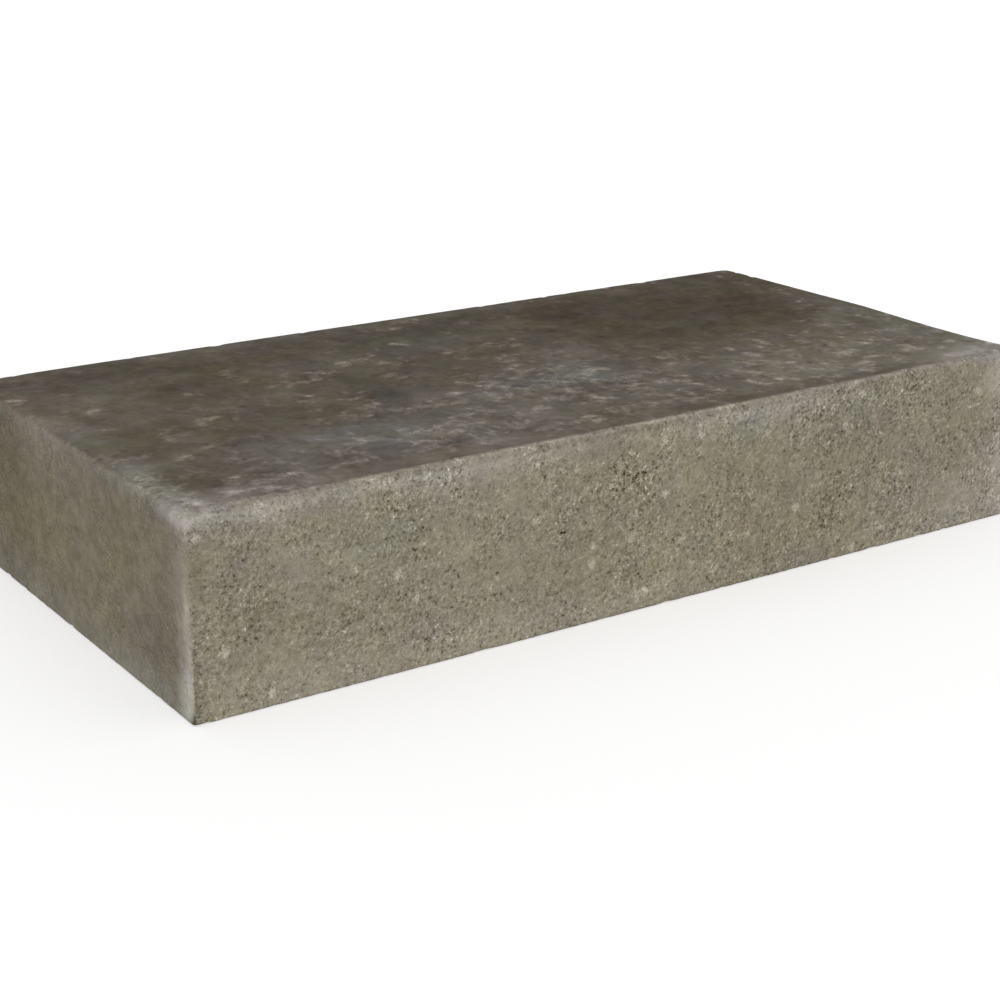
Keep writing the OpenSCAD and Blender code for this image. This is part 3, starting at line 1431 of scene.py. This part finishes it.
@dataclass(frozen=True)
class PaleFloor:
    """A plain pale floor that reads white and keeps the block's shadow."""

    reach: float = 9.0
    albedo: float = 0.86
    lift: float = 0.31

    def build(self) -> bpy.types.Object:
        """Lay the floor: a square grid of two parameters at height 0.

        Returns:
            The floor.
        """
        side = np.linspace(-self.reach, self.reach, 3)
        y, x = np.meshgrid(side, side, indexing="ij")
        points = np.stack([x, y, np.zeros_like(x)], axis=-1).reshape(-1, 3)
        quads = StepBlock.grid_quads(3, 3, closed=False)
        floor = Skin(points, quads, np.zeros((0, 3), int)).mesh("floor")
        floor.data.materials.append(self.material())
        return floor

    def material(self) -> bpy.types.Material:
        """Wire a matt near-white, lifted a little for the camera alone.

        Returns:
            The material.
        """
        material = bpy.data.materials.new("pale_floor")
        w = Wiring(material)
        matt = w.node("ShaderNodeBsdfDiffuse", {}, {"Color": (*[self.albedo] * 3, 1.0)})
        glow = w.node("ShaderNodeEmission", {}, {"Color": WHITE, "Strength": self.lift})
        both = w.node("ShaderNodeAddShader", {}, {0: matt.outputs[0], 1: glow.outputs[0]})
        seen = w.node("ShaderNodeLightPath").outputs["Is Camera Ray"]
        shader = w.node("ShaderNodeMixShader", {}, {
            0: seen, 1: matt.outputs[0], 2: both.outputs[0]})
        w.node("ShaderNodeOutputMaterial", {}, {0: shader.outputs[0]})
        return material


# ---------------------------------------------------------------------------------------------
# Lamp and camera
# ---------------------------------------------------------------------------------------------


def away(azimuth: float, elevation: float) -> Vector:
    """Point from the block towards a place round it.

    Args:
        azimuth: Degrees from straight in front, positive towards the left end.
        elevation: Degrees above the floor.

    Returns:
        A unit vector.
    """
    a = math.radians(azimuth)
    e = math.radians(elevation)
    return Vector((-math.sin(a) * math.cos(e), -math.cos(a) * math.cos(e), math.sin(e)))


@dataclass(frozen=True)
class SoftLamp:
    """A broad, far lamp that lights the block and the whole floor alike."""

    name: str
    azimuth: float
    elevation: float
    breadth: float
    strength: float
    distance: float = 3.0

    def build(self) -> bpy.types.Object:
        """Hang the lamp above the block and turn it to the block's middle.

        Returns:
            The lamp.
        """
        data = bpy.data.lights.new(self.name, "SUN")
        data.energy = self.strength
        data.angle = math.radians(self.breadth)
        lamp = bpy.data.objects.new(self.name, data)
        lamp.location = away(self.azimuth, self.elevation) * self.distance
        lamp.rotation_euler = lamp.location.to_track_quat("Z", "Y").to_euler()
        bpy.context.scene.collection.objects.link(lamp)
        return lamp


@dataclass(frozen=True)
class Studio:
    """The world's fill, the lamp and the camera. Angles are in degrees, lens and sensor in mm."""

    fill: float = 0.60
    backdrop: float = 1.0
    key: SoftLamp = SoftLamp("key_lamp", 12.0, 30.0, 28.0, 1.40)
    place: tuple[float, float, float] = (-0.8852, -1.2719, 0.5515)
    azimuth: float = 34.303
    elevation: float = 18.621
    roll: float = 0.172
    lens: float = 68.81
    sensor: float = 36.0

    def world(self) -> None:
        """Fill the scene from all sides and show white behind the block."""
        world = bpy.data.worlds.new("studio_world")
        w = Wiring(world)
        path = w.node("ShaderNodeLightPath")
        seen = w.math("MAXIMUM", path.outputs["Is Camera Ray"], path.outputs["Is Glossy Ray"])
        fill = w.node("ShaderNodeBackground", {}, {"Color": WHITE, "Strength": self.fill})
        white = w.node("ShaderNodeBackground", {}, {"Color": WHITE, "Strength": self.backdrop})
        mix = w.node("ShaderNodeMixShader", {}, {
            0: seen, 1: fill.outputs[0], 2: white.outputs[0]})
        w.node("ShaderNodeOutputWorld", {}, {0: mix.outputs[0]})
        bpy.context.scene.world = world

    def camera(self) -> bpy.types.Object:
        """Set the camera down, turn it to the block and make it the scene's.

        Returns:
            The camera.
        """
        data = bpy.data.cameras.new("camera")
        data.lens = self.lens
        data.sensor_width = self.sensor
        camera = bpy.data.objects.new("camera", data)
        turn = away(self.azimuth, self.elevation).to_track_quat("Z", "Y").to_matrix().to_4x4()
        roll = Matrix.Rotation(math.radians(self.roll), 4, "Z")
        camera.matrix_world = Matrix.Translation(Vector(self.place)) @ turn @ roll
        bpy.context.scene.collection.objects.link(camera)
        bpy.context.scene.camera = camera
        return camera

    def build(self) -> None:
        """Set up the world, the lamp, the camera and the plain view."""
        self.world()
        self.key.build()
        self.camera()
        bpy.context.scene.view_settings.view_transform = "Standard"


def main() -> None:
    """Load the frame, build the block, its floor and its studio, and log what was built."""
    logging.basicConfig(level=logging.INFO, format="%(message)s")
    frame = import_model()
    LOG.info("frame: %d node", len(frame["nodes"]))
    block = StepBlock(*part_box("step_block")).build()
    LOG.info("%s: %d faces", block.name, len(block.data.polygons))
    floor = PaleFloor().build()
    LOG.info("%s: %d faces", floor.name, len(floor.data.polygons))
    Studio().build()
    LOG.info("studio: world, lamp and camera")


if __name__ == "__main__":
    main()
